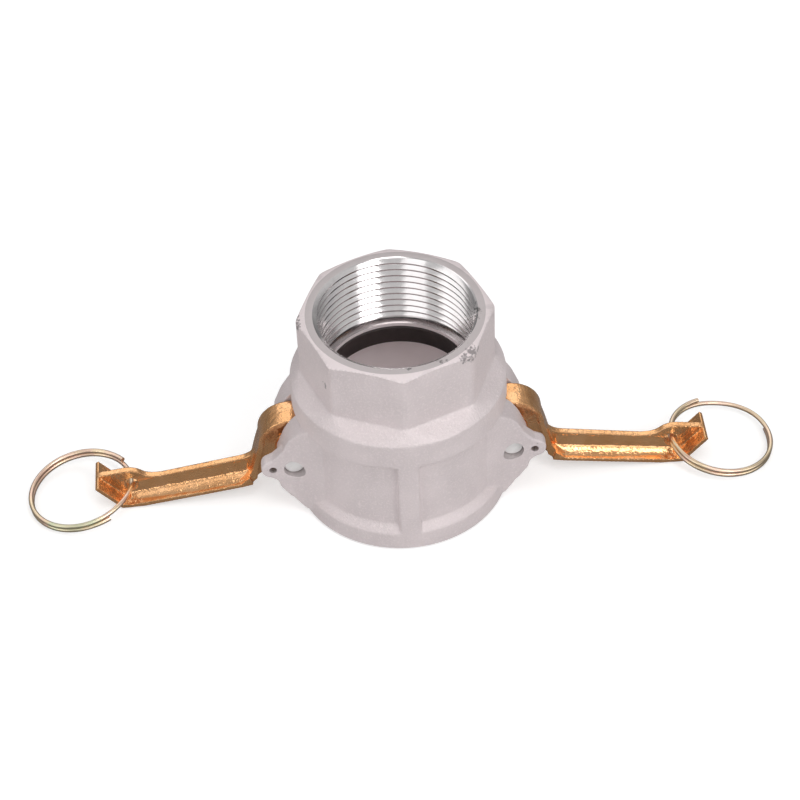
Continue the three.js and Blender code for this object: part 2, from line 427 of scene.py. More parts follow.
def smudge_group():
    """Slow uneven patches, as of handling, oxide or uneven polish."""
    outputs = {"Patches": "NodeSocketFloat", "Streaks": "NodeSocketFloat"}
    group, entry, leave, place = new_group("Smudges", {"Scale": 60.0}, outputs)
    patches = noise(group, place, entry.outputs["Scale"], detail=5.0, distortion=0.4)
    group.links.new(remap(group, patches, 0.32, 0.68), leave.inputs["Patches"])
    stretch = group.nodes.new("ShaderNodeMapping")
    stretch.inputs["Scale"].default_value = (1.0, 1.0, 0.15)
    group.links.new(place, stretch.inputs["Vector"])
    streak_scale = maths(group, "MULTIPLY", entry.outputs["Scale"], 3.0)
    streaks = noise(group, stretch.outputs["Vector"], streak_scale, detail=3.0)
    group.links.new(remap(group, streaks, 0.35, 0.65), leave.inputs["Streaks"])
    return group


def wear_and_shade_group():
    """Rubbed outer edges, and a mask of the inner corners, where the materials paint shade (on the
    brass, a painted orange reflection).
    """
    outputs = {"Edges": "NodeSocketFloat", "Corners": "NodeSocketFloat"}
    inputs = {"Edge Start": 0.53, "Edge End": 0.6, "Break Up": 0.02}
    group, entry, leave, place = new_group("Edge Wear and Corner Shade", inputs, outputs)
    shape = group.nodes.new("ShaderNodeNewGeometry").outputs["Pointiness"]
    breaks = maths(group, "SUBTRACT", noise(group, place, 400.0), 0.5)
    uneven = maths(group, "MULTIPLY", breaks, entry.outputs["Break Up"])
    uneven = maths(group, "ADD", shape, uneven)
    edges = remap(group, uneven, entry.outputs["Edge Start"], entry.outputs["Edge End"])
    group.links.new(edges, leave.inputs["Edges"])
    # Corners: the hollows where the materials paint shade, not dirt
    group.links.new(remap(group, uneven, 0.48, 0.42), leave.inputs["Corners"])
    return group


def turning_group():
    """Fine rings left by a lathe tool that faced a part square to the Z axis."""
    outputs = {"Height": "NodeSocketFloat", "Rings": "NodeSocketFloat"}
    group, entry, leave, place = new_group("Turning Lines", {"Scale": 1400.0}, outputs)
    waves = group.nodes.new("ShaderNodeTexWave")
    waves.wave_type = "RINGS"
    waves.rings_direction = "Z"
    waves.inputs["Distortion"].default_value = 0.6
    waves.inputs["Detail"].default_value = 2.0
    group.links.new(place, waves.inputs["Vector"])
    group.links.new(entry.outputs["Scale"], waves.inputs["Scale"])
    group.links.new(waves.outputs["Fac"], leave.inputs["Height"])
    slow = noise(group, place, 90.0, detail=6.0)
    rings = maths(group, "MULTIPLY", waves.outputs["Fac"], slow)
    group.links.new(rings, leave.inputs["Rings"])
    return group


def scuff_group():
    """Dark knocks and scrapes at the places in SCUFFS."""
    group, entry, leave, place = new_group("Scuffs", {"Depth": 1.0}, {"Mask": "NodeSocketFloat"})
    ragged = maths(group, "SUBTRACT", noise(group, place, 900.0, detail=6.0), 0.5)
    total = 0.0
    for middle, radius in SCUFFS:
        reach = group.nodes.new("ShaderNodeVectorMath")
        reach.operation = "DISTANCE"
        group.links.new(place, reach.inputs[0])
        reach.inputs[1].default_value = Vector(middle) * MM
        uneven = maths(group, "MULTIPLY", ragged, radius * 5 * MM)
        edge = maths(group, "ADD", reach.outputs["Value"], uneven)
        mark = remap(group, edge, radius * MM, radius * 0.3 * MM)
        total = maths(group, "ADD", mark, total, clamp=True)
    deep = maths(group, "MULTIPLY", total, entry.outputs["Depth"], clamp=True)
    group.links.new(deep, leave.inputs["Mask"])
    return group


GROUPS = {}


def shared(builder):
    """The builder's node group, made once and used by several materials."""
    if builder not in GROUPS:
        GROUPS[builder] = builder()
    return GROUPS[builder]


# ---------------------------------------------------------------- materials


class Finish:
    """One material's node tree, with short calls for the nodes that it repeats."""

    def __init__(self, name):
        self.material = bpy.data.materials.new(name)
        self.material.use_nodes = True
        self.tree = self.material.node_tree
        self.shader = self.tree.nodes["Principled BSDF"]

    def plain(self, **values):
        for label, value in values.items():
            self.shader.inputs[label.replace("_", " ").title()].default_value = value

    def effect(self, builder, **values):
        node = self.tree.nodes.new("ShaderNodeGroup")
        node.node_tree = shared(builder)
        for label, value in values.items():
            node.inputs[label.replace("_", " ").title()].default_value = value
        return node.outputs

    def link(self, output, label):
        self.tree.links.new(output, self.shader.inputs[label])

    def tint(self, fac, low, high):
        """A colour that goes from low to high with fac."""
        node = self.tree.nodes.new("ShaderNodeMix")
        node.data_type = "RGBA"
        self.tree.links.new(fac, node.inputs["Factor"])
        for socket, colour in ((node.inputs[6], low), (node.inputs[7], high)):
            if isinstance(colour, bpy.types.NodeSocket):
                self.tree.links.new(colour, socket)
            else:
                socket.default_value = (*colour, 1.0)
        return node.outputs[2]

    def roughness(self, fac, low, high):
        """Roughness that goes from low to high with fac."""
        self.link(remap(self.tree, fac, 0.0, 1.0, low, high), "Roughness")

    def bump(self, height, strength, distance):
        node = self.tree.nodes.new("ShaderNodeBump")
        node.inputs["Strength"].default_value = strength
        node.inputs["Distance"].default_value = distance
        self.tree.links.new(height, node.inputs["Height"])
        self.link(node.outputs["Normal"], "Normal")


def shade(colour, amount):
    """A colour made darker or lighter, and still within range."""
    return tuple(min(1.0, channel * amount) for channel in colour)


def cast_aluminium(looks):
    base = tuple(looks.cast_colour)
    finish = Finish("Cast Aluminium")
    grain = finish.effect(grain_group, scale=looks.cast_grain)
    smudge = finish.effect(smudge_group, scale=70.0)
    wear_and_shade = finish.effect(wear_and_shade_group, edge_start=0.55, edge_end=0.66)
    scuffs = finish.effect(scuff_group, depth=0.8)
    colour = finish.tint(smudge["Patches"], shade(base, 0.95), shade(base, 1.03))
    # Painted glints: the tops of the grain made lighter, as the sparkle of blasted metal.
    colour = finish.tint(grain["Sparkle"], colour, shade(base, 1.09))
    # Painted shade: the cast colour darkened to 0.6 in the inner corners and creases.
    colour = finish.tint(wear_and_shade["Corners"], colour, shade(base, 0.6))
    colour = finish.tint(wear_and_shade["Edges"], colour, shade(base, 1.15))
    colour = finish.tint(scuffs["Mask"], colour, shade(base, 0.3))
    finish.link(colour, "Base Color")
    finish.roughness(smudge["Patches"], 0.5, 0.6)
    finish.plain(metallic=0.4)
    finish.bump(grain["Height"], 0.9, 0.0002)
    return finish.material


def machined_aluminium(looks):
    """Faced end, rim and drilled holes: tool rings, dulled by handling."""
    base = tuple(looks.machined_colour)
    finish = Finish("Machined Aluminium")
    lines = finish.effect(turning_group, scale=looks.turning_lines)
    smudge = finish.effect(smudge_group, scale=120.0)
    scuffs = finish.effect(scuff_group, depth=0.9)
    colour = finish.tint(lines["Rings"], shade(base, 1.06), shade(base, 0.86))
    colour = finish.tint(smudge["Patches"], colour, base)
    colour = finish.tint(scuffs["Mask"], colour, shade(base, 0.35))
    finish.link(colour, "Base Color")
    finish.roughness(smudge["Streaks"], 0.45, 0.55)
    finish.plain(metallic=0.4)
    finish.bump(lines["Height"], 0.3, 0.00003)
    return finish.material


def bored_aluminium(looks):
    """Fresh bright metal left by the thread and boring tools."""
    base = tuple(looks.bored_colour)
    finish = Finish("Bored Aluminium")
    smudge = finish.effect(smudge_group, scale=200.0)
    wear_and_shade = finish.effect(wear_and_shade_group, edge_start=0.55, edge_end=0.66)
    colour = finish.tint(smudge["Streaks"], shade(base, 0.95), base)
    # Painted shade: darker in the thread's grooves and the inner corners.
    colour = finish.tint(wear_and_shade["Corners"], colour, shade(base, 0.75))
    scuffs = finish.effect(scuff_group, depth=0.9)
    colour = finish.tint(scuffs["Mask"], colour, shade(base, 0.3))
    finish.link(colour, "Base Color")
    finish.roughness(smudge["Patches"], 0.12, 0.18)
    finish.plain(metallic=1.0)
    return finish.material


def matt_aluminium_painted_light(looks):
    """Socket, groove and waterway: a soft even sheen with no tool lines left, in the cast colour
    lightened as painted light on the socket's inside.
    """
    base = tuple(looks.cast_colour)
    finish = Finish("Matt Aluminium Painted Light")
    smudge = finish.effect(smudge_group, scale=90.0)
    # Painted light: the cast colour made 1.28 to 1.36 times lighter so the shaded inside of the
    # socket reads bright.
    colour = finish.tint(smudge["Patches"], shade(base, 1.28), shade(base, 1.36))
    finish.link(colour, "Base Color")
    finish.roughness(smudge["Streaks"], 0.42, 0.52)
    finish.plain(metallic=0.1)
    return finish.material


def polished_brass(looks):
    base = tuple(looks.brass_colour)
    finish = Finish("Gold Brass")
    ripples = finish.effect(grain_group, scale=400.0)
    smudge = finish.effect(smudge_group, scale=160.0)
    wear_and_shade = finish.effect(wear_and_shade_group, edge_start=0.54, edge_end=0.64)
    colour = finish.tint(smudge["Patches"], tuple(looks.brass_stain), base)
    colour = finish.tint(wear_and_shade["Edges"], colour, shade(base, 1.25))
    # Painted reflection: the inner corners and hollows take the bright orange that their lit
    # curves show.
    colour = finish.tint(wear_and_shade["Corners"], colour, tuple(looks.brass_corner_reflection))
    finish.link(colour, "Base Color")
    finish.roughness(smudge["Streaks"], 0.2, 0.12)
    finish.plain(metallic=0.88)
    finish.bump(ripples["Height"], 0.5, 0.00045)
    return finish.material


def black_rubber(looks):
    base = tuple(looks.rubber_colour)
    finish = Finish("Black Rubber")
    grain = finish.effect(grain_group, scale=900.0)
    smudge = finish.effect(smudge_group, scale=90.0)
    colour = finish.tint(smudge["Patches"], shade(base, 0.7), shade(base, 1.4))
    finish.link(colour, "Base Color")
    finish.roughness(smudge["Streaks"], 0.45, 0.65)
    finish.bump(grain["Height"], 0.3, 0.00008)
    return finish.material


def bright_steel(looks):
    base = tuple(looks.steel_colour)
    finish = Finish("Bright Steel")
    lines = finish.effect(grain_group, scale=700.0)
    smudge = finish.effect(smudge_group, scale=300.0)
    colour = finish.tint(smudge["Patches"], shade(base, 0.85), base)
    finish.link(colour, "Base Color")
    finish.roughness(smudge["Streaks"], 0.35, 0.5)
    finish.plain(metallic=0.35)
    finish.bump(lines["Height"], 0.15, 0.00004)
    return finish.material


def yellow_zinc(looks):
    """Passivated zinc: thin-film colours that wander along the wire."""
    base = tuple(looks.zinc_colour)
    finish = Finish("Yellow Zinc")
    smudge = finish.effect(smudge_group, scale=45.0)
    film = [
        (0.0, shade(base, 0.9)),
        (0.35, shade(base, 1.12)),
        (0.55, (0.86, 0.62, 0.5)),
        (0.75, shade(base, 1.05)),
        (1.0, (0.66, 0.68, 0.48)),
    ]
    finish.link(ramp(finish.tree, smudge["Patches"], film), "Base Color")
    finish.roughness(smudge["Streaks"], 0.28, 0.36)
    finish.plain(metallic=1.0)
    return finish.material


# ---------------------------------------------------------------- coupler body


def cup_blank():
    """Cup and collar, a little long at the mouth so that the rim can be faced."""
    return turned(
        "coupler_body",
        [(0, -1.5), (RIM_R, -1.5), (RIM_R, RIM_TOP), (COLLAR_R, COLLAR_HIGH), (0, COLLAR_HIGH)],
    )


def pocket_tool():
    """The recess round the cup, interrupted by the tapered front and rear ribs."""
    outside = RIM_R + 4
    ring = turned(
        "pocket_tool",
        [
            (RIM_R + 0.02, RIM_TOP),
            (outside, RIM_TOP),
            (outside, COLLAR_LOW),
            (COLLAR_R, COLLAR_LOW),
            (POCKET_R, POCKET_HIGH),
            (POCKET_R, POCKET_LOW),
            (RIM_R + 0.02, RIM_TOP),
        ],
    )
    for side in (-1, 1):
        inner, outer = RIB_INNER_Y * side, outside * side
        rib = [(-RIB_ROOT, inner), (RIB_ROOT, inner), (RIB_CREST, outer), (-RIB_CREST, outer)]
        tool = prism("rib_tool", [(x, y, 0) for x, y in rib], (0, 0, HEIGHT))
        cut(ring, tool)
    return ring


def ring_of_vertices(name, count, radius, z):
    bpy.ops.object.select_all(action="DESELECT")
    bpy.ops.mesh.primitive_circle_add(vertices=count, radius=radius * MM, location=(0, 0, z * MM))
    piece = bpy.context.object
    piece.name = name
    return settle(piece)


def shoulder_blank():
    """The skin between the octagon's straight foot and the round top of the collar."""
    foot = ring_of_vertices("octagon_foot", 8, OCTAGON_R, OCTAGON_LOW)
    collar = ring_of_vertices("collar_top", ROUND_STEPS, COLLAR_R, COLLAR_HIGH)
    piece = join(foot, collar)
    bpy.ops.object.mode_set(mode="EDIT")
    bpy.ops.mesh.select_all(action="SELECT")
    bpy.ops.mesh.convex_hull()
    close_mesh()
    return piece


def octagon_blank():
    low, high = COLLAR_HIGH - 1, HEIGHT + 1.5
    bpy.ops.object.select_all(action="DESELECT")
    bpy.ops.mesh.primitive_cylinder_add(
        vertices=8,
        radius=OCTAGON_R * MM,
        depth=(high - low) * MM,
        location=(0, 0, (low + high) / 2 * MM),
    )
    piece = settle(bpy.context.object)
    apply_modifier(piece, "BEVEL", width=OCTAGON_ROUND * MM, segments=4, limit_method="ANGLE")
    return piece


def ear_outline():
    top = [(22, 36.2), (27, 35), (30, 32.8)]
    nose = curve_to(top[-1], (33, 30.3), (34.6, 26.6))
    below = [(36.6, 21.5), (37.1, 14), (36.4, 10.9), (33.9, 7.1), (29.7, 2.4), (22, 2.4)]
    return [*top, *nose, *below]


def lug_outline():
    """The thin lug for the safety clip, which runs out of the ear's nose."""
    top = [(31, 27.5), (34.2, 26.3), (38.2, 22)]
    below = [(38.6, 14.9), (37.2, 13.8), (36, 11.5), (31, 11)]
    return [*top, *arc(LUG, LUG_R, 50, -50, 8), *below]


def ear_plan():
    """Seen from above, one ear with the flare where it meets the cup."""
    return [
        (22, EAR_INNER_Y),
        (42, EAR_INNER_Y),
        (42, EAR_OUTER_Y),
        (32.5, EAR_OUTER_Y),
        (29.8, EAR_OUTER_Y + 1),
        (27, 15.7),
        (22, EAR_ROOT_Y),
    ]


def ear_blanks():
    """The four ears, and the clip lugs of the two front ones."""
    ear = plate("ear", ear_outline(), EAR_INNER_Y, EAR_ROOT_Y)
    plan = prism("ear_plan", [(x, y, 0) for x, y in ear_plan()], (0, 0, HEIGHT))
    combine(ear, plan, "INTERSECT")
    pair = join(ear, mirrored_copy(ear))
    lugs = [
        plate("lug", [(side * x, z) for x, z in lug_outline()], -EAR_OUTER_Y, -LUG_INNER_Y)
        for side in (-1, 1)
    ]
    return join(pair, half_turn_copy(pair, "left_ears"), *lugs)


def arm_slots():
    """The windows and slots that the cam arms swing through."""
    reach = LUG[0] + LUG_R + 2
    corner = (reach, EAR_INNER_Y, WINDOW_HIGH)
    window = block("window", (WINDOW_INNER_X, -EAR_INNER_Y, WINDOW_LOW), corner)
    below = block("slot", (RIM_R + 0.4, -EAR_INNER_Y, -3), corner)
    tool = combine(window, below, "UNION")
    return tool, half_turn_copy(tool, "left_slot")


def socket_tool():
    """The socket, the gasket's groove and the waterway, bored from the mouth."""
    gasket_top = GASKET_HIGH.z + GAP
    groove_r = GASKET_HIGH.x + GAP
    return turned(
        "socket_tool",
        [
            (0, -3),
            (SOCKET_R + 3.8, -3),
            (SOCKET_R, 0.8),
            (SOCKET_R, GASKET_LOW.z - GAP),
            (groove_r, GASKET_LOW.z - GAP),
            (groove_r, gasket_top),
            (WATERWAY_R, gasket_top),
            (WATERWAY_R, THREAD_LOW + 0.5),
            (0, THREAD_LOW + 0.5),
        ],
    )


def thread_bore_tool():
    """The plain bore of the threaded end, with its relief and its mouth chamfer."""
    return turned(
        "thread_bore",
        [
            (0, THREAD_LOW),
            (RELIEF_R, THREAD_LOW),
            (RELIEF_R, RELIEF_HIGH - 0.9),
            (THREAD_CREST_R, RELIEF_HIGH),
            (THREAD_CREST_R, THREAD_HIGH),
            (MOUTH_R, HEIGHT),
            (MOUTH_R, HEIGHT + 3),
            (0, HEIGHT + 3),
        ],
    )


def thread_tool(sizes):
    """The helical groove of the pipe thread."""
    pitch = sizes.thread_pitch / MM
    root_r = sizes.thread_root_radius / MM
    low = THREAD_LOW + 0.6
    turns = int((THREAD_HIGH - low) / pitch) + 1
    profile = [
        (THREAD_TOOTH_R, 0.02),
        (root_r - 0.1, 0.6 * pitch),
        (root_r, 0.66 * pitch),
        (root_r - 0.1, 0.72 * pitch),
        (THREAD_TOOTH_R, pitch - 0.02),
    ]
    points = [(radius, 0, low + z) for radius, z in profile]
    piece = chain("thread_tool", [*points, points[0]])
    bpy.ops.object.mode_set(mode="OBJECT")
    apply_modifier(
        piece,
        "SCREW",
        axis="Z",
        angle=2 * math.pi,
        screw_offset=pitch * MM,
        iterations=turns,
        steps=96,
        render_steps=96,
    )
    bpy.ops.object.mode_set(mode="EDIT")
    bpy.ops.mesh.select_all(action="SELECT")
    bpy.ops.mesh.remove_doubles(threshold=MERGE)
    bpy.ops.mesh.select_all(action="DESELECT")
    bpy.ops.mesh.select_mode(type="EDGE")
    bpy.ops.mesh.select_non_manifold()
    bpy.ops.mesh.fill_holes(sides=0)
    bpy.ops.mesh.select_mode(type="VERT")
    close_mesh()
    bottom, top = THREAD_LOW + 0.3, THREAD_HIGH + 0.6
    limit_r = RELIEF_R + 2.1
    limit = turned("thread_limit", [(0, bottom), (limit_r, bottom), (limit_r, top), (0, top)], 32)
    return combine(piece, limit, "INTERSECT")


def facing_tools():
    """The two lathe cuts that square off the threaded end and the mouth rim."""
    end = turned(
        "end_facing",
        [(0, HEIGHT), (OCTAGON_R + 6, HEIGHT), (OCTAGON_R + 6, HEIGHT + 6), (0, HEIGHT + 6)],
    )
    rim = turned(
        "rim_facing",
        [(0, -6), (0, 0), (RIM_R - 0.5, 0), (RIM_R + 0.3, 0.8), (RIM_R + 9, 0.8), (RIM_R + 9, -6)],
    )
    return end, rim


def corner_tool():
    """The lathe cut that takes the sharp tips off the octagon's corners."""
    slope = CORNER_DROP / (OCTAGON_R - FACE_R)
    outside = OCTAGON_R + 6
    profile = [
        (FACE_R, HEIGHT),
        (outside, HEIGHT - slope * (outside - FACE_R)),
        (outside, HEIGHT + 2),
        (FACE_R, HEIGHT + 2),
    ]
    return turned("corner_facing", [*profile, profile[0]])


def both_sides(tool):
    return join(tool, half_turn_copy(tool, f"{tool.name}_left"))


def drill_tools():
    """Pin and clip holes through both pairs of ears."""
    reach = EAR_OUTER_Y + 2
    pins = both_sides(bar("pin_drill", (PIVOT.x, PIVOT.z), PIN_HOLE_R, reach))
    clips = both_sides(bar("clip_drill", LUG, CLIP_HOLE_R, reach, 24))
    return pins, clips


class CAMLOCK_OT_body(bpy.types.Operator):
    """Cast and machine the one-piece coupler body"""

    bl_idname = "camlock.body"
    bl_label = "Coupler Body"

    def execute(self, context):
        sizes = context.scene.coupler_sizes
        looks = context.scene.coupler_looks
        cast = cast_aluminium(looks)
        machined = machined_aluminium(looks)
        bored = bored_aluminium(looks)
        matt_painted_light = matt_aluminium_painted_light(looks)
        body = cut(cup_blank(), pocket_tool())
        body = join(body, octagon_blank(), shoulder_blank(), ear_blanks())
        cast_skin(body, sizes.cast_grid, sizes.cast_rounds, BODY_KEEP)
        cut(body, *arm_slots())
        body.data.materials.clear()
        body.data.materials.append(cast)
        thread = combine(thread_bore_tool(), thread_tool(sizes), "UNION")
        cuts = [(thread, bored), (socket_tool(), matt_painted_light), (corner_tool(), cast)]
        cuts += [(tool, machined) for tool in (*facing_tools(), *drill_tools())]
        for tool, material in cuts:
            tool.data.materials.clear()
            tool.data.materials.append(material)
            cut(body, tool)
        body.name = "coupler_casting"
        smooth_sides(body)
        finish_piece(body, "body", "coupler_body")
        return {"FINISHED"}


# ---------------------------------------------------------------- gasket


class CAMLOCK_OT_gasket(bpy.types.Operator):
    """Mould the rubber gasket that sits in the socket"""

    bl_idname = "camlock.gasket"
    bl_label = "Gasket"

    def execute(self, context):
        inner, outer = GASKET_BORE_R, GASKET_HIGH.x
        low, high = GASKET_LOW.z, GASKET_HIGH.z
        middle, corner, dish = (low + high) / 2, 0.5, 0.35
        profile = [
            (inner + corner, low),
            (outer - corner, low),
            (outer, low + corner),
            (outer, high - corner),
            (outer - corner, high),
            (inner + corner, high),
            (inner, high - corner),
            (inner + dish, middle),
            (inner, low + corner),
        ]
        piece = turned("gasket_ring", [*profile, profile[0]])
        piece.data.materials.append(black_rubber(context.scene.coupler_looks))
        apply_modifier(piece, "BEVEL", width=0.2 * MM, segments=2, limit_method="ANGLE")
        smooth_sides(piece)
        finish_piece(piece, "body", "gasket")
        return {"FINISHED"}


# ---------------------------------------------------------------- cam arms


def cam_head_outline():
    flat = math.degrees(math.acos((CAM_FLAT_X - CAM_CENTRE[0]) / CAM_R))
    outline = [(CAM_FLAT_X, 12.4), *arc(CAM_CENTRE, CAM_R, flat, 0, 20)]
    outline += curve_to(outline[-1], (43.4, 15.4), (44.4, 11))
    outline += curve_to(outline[-1], (45.2, 7.6), (48.4, 6.2))
    outline += [(48, 4.55), (44.6, 5.3)]
    outline += curve_to(outline[-1], (40.5, 9.4), (36, 10.3))
    outline += curve_to(outline[-1], (30.5, 9.4), (CAM_FLAT_X, 12.4))[:-1]
    return outline


def head_recess_outline():
    inner = CAM_R - STRAP
    outline = [(24, 6), (24, CAM_CENTRE[1] + inner), *arc(CAM_CENTRE, inner, 90, 0, 14)]
    outline += curve_to(outline[-1], (41.8, 15), (42.7, 10.8))
    outline += curve_to(outline[-1], (43, 8), (44, 3))
    return outline


def lever_flange_outline():
    tip = (91.3, 8.6)
    under = [(44.6, 5.3), (48, 4.55), (59, 2.85), (77.6, 0.1), (81, 0), (84.2, 0), tip]
    above = [(90.35, 9.4), (83.7, 1.3), (80.8, 1.2), (59.2, 4.05), (48.4, 5.7), (45.6, 8.2)]
    return under + above


def lever_fillets():
    """The hollow curve that runs the rib out into the edges of the flange."""
    start, run = Vector((46, 0, 4.85)), (35.5, 0, -5.34)
    side = [(5.45, 0.9), *curve_to((5.45, 0.9), (2.75, 1.6), (1.8, 3.2)), (1, 6.3)]
    section = [*side, *((-y, z) for y, z in reversed(side))]
    return prism("lever_fillets", [start + Vector((0, y, z)) for y, z in section], run)


def lever_rib_outline():
    outline = [(44, 10), (43.6, 14.6)]
    outline += curve_to(outline[-1], (45, 12.4), (48.2, 11.8))
    outline += [(71.5, 7.75)]
    outline += curve_to(outline[-1], (75.2, 7.2), (77.4, 8.9))
    outline += curve_to(outline[-1], (79.6, 10.8), (82.5, 10.5))
    outline += [(89.9, 9.5), (84, 1), (60, 3.4), (46, 6)]
    return outline


def arm_blank():
    head = plate("right_arm", cam_head_outline(), -CAM_HALF, CAM_HALF)
    for side in (-1, 1):
        low, high = sorted((WEB_HALF * side, (CAM_HALF + 2) * side))
        cut(head, plate("head_recess", head_recess_outline(), low, high))
    hub = combine(
        bar("hub", (PIVOT.x, PIVOT.z), HUB_R, CAM_HALF),
        plate("hub_limit", cam_head_outline(), -CAM_HALF, CAM_HALF),
        "INTERSECT",
    )
    lever = plate("lever", lever_flange_outline(), -ARM_HALF, ARM_HALF)
    rib = plate("rib", lever_rib_outline(), -RIB_HALF, RIB_HALF)
    return join(head, hub, lever, rib, lever_fillets())


def drill_arm(arm):
    """Pin, clip and ring holes, drilled after casting."""
    offset = Matrix.Rotation(-CLOSING_TURN, 2) @ Vector((LUG[0] - PIVOT.x, LUG[1] - PIVOT.z))
    clip = (PIVOT.x + offset.x, PIVOT.z + offset.y)
    cut(
        arm,
        bar("pin_drill", (PIVOT.x, PIVOT.z), PIN_HOLE_R, EAR_OUTER_Y),
        bar("clip_drill", clip, CLIP_HOLE_R, EAR_OUTER_Y, 24),
        bar("ring_drill", (RING_HOLE.x, RING_HOLE.z), RING_HOLE_R, EAR_OUTER_Y),
    )


class CAMLOCK_OT_arms(bpy.types.Operator):
    """Cast the two brass cam arms"""

    bl_idname = "camlock.arms"
    bl_label = "Cam Arms"

    def execute(self, context):
        sizes = context.scene.coupler_sizes
        right = arm_blank()
        right.data.materials.clear()
        right.data.materials.append(polished_brass(context.scene.coupler_looks))
        cast_skin(right, sizes.arm_grid, sizes.arm_rounds, ARM_KEEP)
        drill_arm(right)
        right.name = "right_arm"
        smooth_sides(right)
        left = half_turn_copy(right, "left_arm")
        finish_piece(right, "right_arm", "right_cam_arm")
        finish_piece(left, "left_arm", "left_cam_arm")
        return {"FINISHED"}


# ---------------------------------------------------------------- pivot pins


class CAMLOCK_OT_pins(bpy.types.Operator):
    """Turn the two pivot pins"""

    bl_idname = "camlock.pins"
    bl_label = "Pivot Pins"

    def execute(self, context):
        right = bar("right_pin", (PIVOT.x, PIVOT.z), PIN_R, PIN_HALF - 0.3)
        bpy.ops.object.mode_set(mode="EDIT")
        shape = bmesh.from_edit_mesh(right.data)
        for face in shape.faces:
            face.select_set(abs(face.normal.y) > 0.9)
        bmesh.update_edit_mesh(right.data)
        edge, dish = 0.35 * MM, 0.3 * MM
        bpy.ops.mesh.inset(thickness=edge, depth=dish)
        close_mesh()
        apply_modifier(right, "BEVEL", width=0.12 * MM, segments=3, limit_method="ANGLE")
        right.data.materials.append(bright_steel(context.scene.coupler_looks))
        smooth_sides(right, 40)
        left = half_turn_copy(right, "left_pin")
        finish_piece(right, "body", "right_pivot_pin")
        finish_piece(left, "body", "left_pivot_pin")
        return {"FINISHED"}


# ---------------------------------------------------------------- pull rings


def ring_path(steps=260):
    """Centre line of a split ring of nearly two turns, whose free ends stand out a little."""
    points = []
    for step in range(steps + 1):
        angle = 2 * math.pi * WIRE_TURNS * (step / steps - 0.5)
        across = min(1.0, max(0.0, (angle + CROSSOVER) / (2 * CROSSOVER)))
        side = 0.5 - across * across * (3 - 2 * across)
        from_end = math.pi * WIRE_TURNS - abs(angle)
        spring = END_SPRING * max(0.0, 1 - from_end / END_TURN) ** 2
        radius = RING_R + spring
        points.append((radius * math.cos(angle), radius * math.sin(angle), TURN_SPACING * side))
    return points


def ring_place(wire_r, side):
    """From the ring's own axes to its place, hanging from the arm's hole down to the table."""
    drop = RING_HOLE.z - wire_r - TURN_SPACING / 2
    tilt = math.asin(drop / (2 * RING_R))
    turn = Matrix.Rotation(RING_SPLITS[side], 4, "Z")
    lie = Matrix.Rotation(tilt, 4, "Y")
    face_side = Matrix.Rotation(math.pi if side == "left" else 0.0, 4, "Z")
    out = Matrix.Translation((RING_R, 0, 0))
    return face_side @ Matrix.Translation(RING_HOLE) @ lie @ out @ turn


def pull_ring(side, wire_r):
    place = ring_place(wire_r, side)
    ring = chain(f"{side}_ring_wire", [place @ Vector(point) for point in ring_path()])
    bpy.ops.object.mode_set(mode="OBJECT")
    select_only(ring)
    bpy.ops.object.convert(target="CURVE")
    ring = bpy.context.object
    ring.data.bevel_depth = wire_r * MM
    ring.data.bevel_resolution = 6
    ring.data.use_fill_caps = True
    bpy.ops.object.convert(target="MESH")
    ring = bpy.context.object
    ring.data.materials.clear()
    smooth_sides(ring, 50)
    return ring


class CAMLOCK_OT_rings(bpy.types.Operator):
    """Coil the two split pull rings from round wire"""

    bl_idname = "camlock.rings"
    bl_label = "Pull Rings"

    def execute(self, context):
        wire_r = context.scene.coupler_sizes.wire_radius / MM
        zinc = yellow_zinc(context.scene.coupler_looks)
        for side in ("right", "left"):
            ring = pull_ring(side, wire_r)
            ring.data.materials.append(zinc)
            finish_piece(ring, f"{side}_ring", f"{side}_pull_ring")
        return {"FINISHED"}


# ---------------------------------------------------------------- stage


CAMERA_PLACE = Vector((-0.02453, -0.49185, 0.51462))
CAMERA_YAW = math.radians(2.88)
CAMERA_PITCH = math.radians(-44.54)
CAMERA_ROLL = math.radians(-2.69)
CAMERA_LENS = 106.6
LIGHT_AIM = Vector((0, 0, 0.03))

# Each softbox: its name, its place, its width and height in metres, and its watts
SOFTBOXES = [
    ("front key", (0.58, -0.78, 0.95), 0.42, 0.8, 4.1),
    ("front fill", (-0.5, -0.75, 0.9), 0.5, 0.5, 0.55),
    ("front low", (0.1, -1.1, 0.3), 0.9, 0.4, 2.0),
    ("right box", (0.95, -0.5, 0.35), 0.6, 0.4, 1.4),
    ("left low", (-0.95, -0.6, 0.3), 0.6, 0.4, 1.5),
    ("left box", (-0.8, 0.1, 0.7), 0.8, 0.6, 1.1),
    ("overhead", (0.05, -0.3, 1.2), 0.5, 0.5, 1.9),
    ("back box", (0.0, 0.95, 0.95), 1.4, 0.5, 2.0),
]


def add_camera(scene):
    data = bpy.data.cameras.new("Camera")
    data.lens = CAMERA_LENS
    data.sensor_width = 36
    data.clip_start = 0.01
    data.clip_end = 50
    camera = bpy.data.objects.new("Camera", data)
    turn = (
        Matrix.Rotation(-CAMERA_YAW, 4, "Z")
        @ Matrix.Rotation(math.pi / 2 + CAMERA_PITCH, 4, "X")
        @ Matrix.Rotation(CAMERA_ROLL, 4, "Z")
    )
    camera.matrix_world = Matrix.Translation(CAMERA_PLACE) @ turn
    scene.collection.objects.link(camera)
    scene.camera = camera


def add_softbox(scene, name, place, width, height, watts):
    data = bpy.data.lights.new(name, "AREA")
    data.shape = "RECTANGLE"
    data.size = width
    data.size_y = height
    data.energy = watts
    lamp = bpy.data.objects.new(name, data)
    lamp.location = place
    direction = LIGHT_AIM - Vector(place)
    lamp.rotation_euler = direction.to_track_quat("-Z", "Y").to_euler()
    scene.collection.objects.link(lamp)


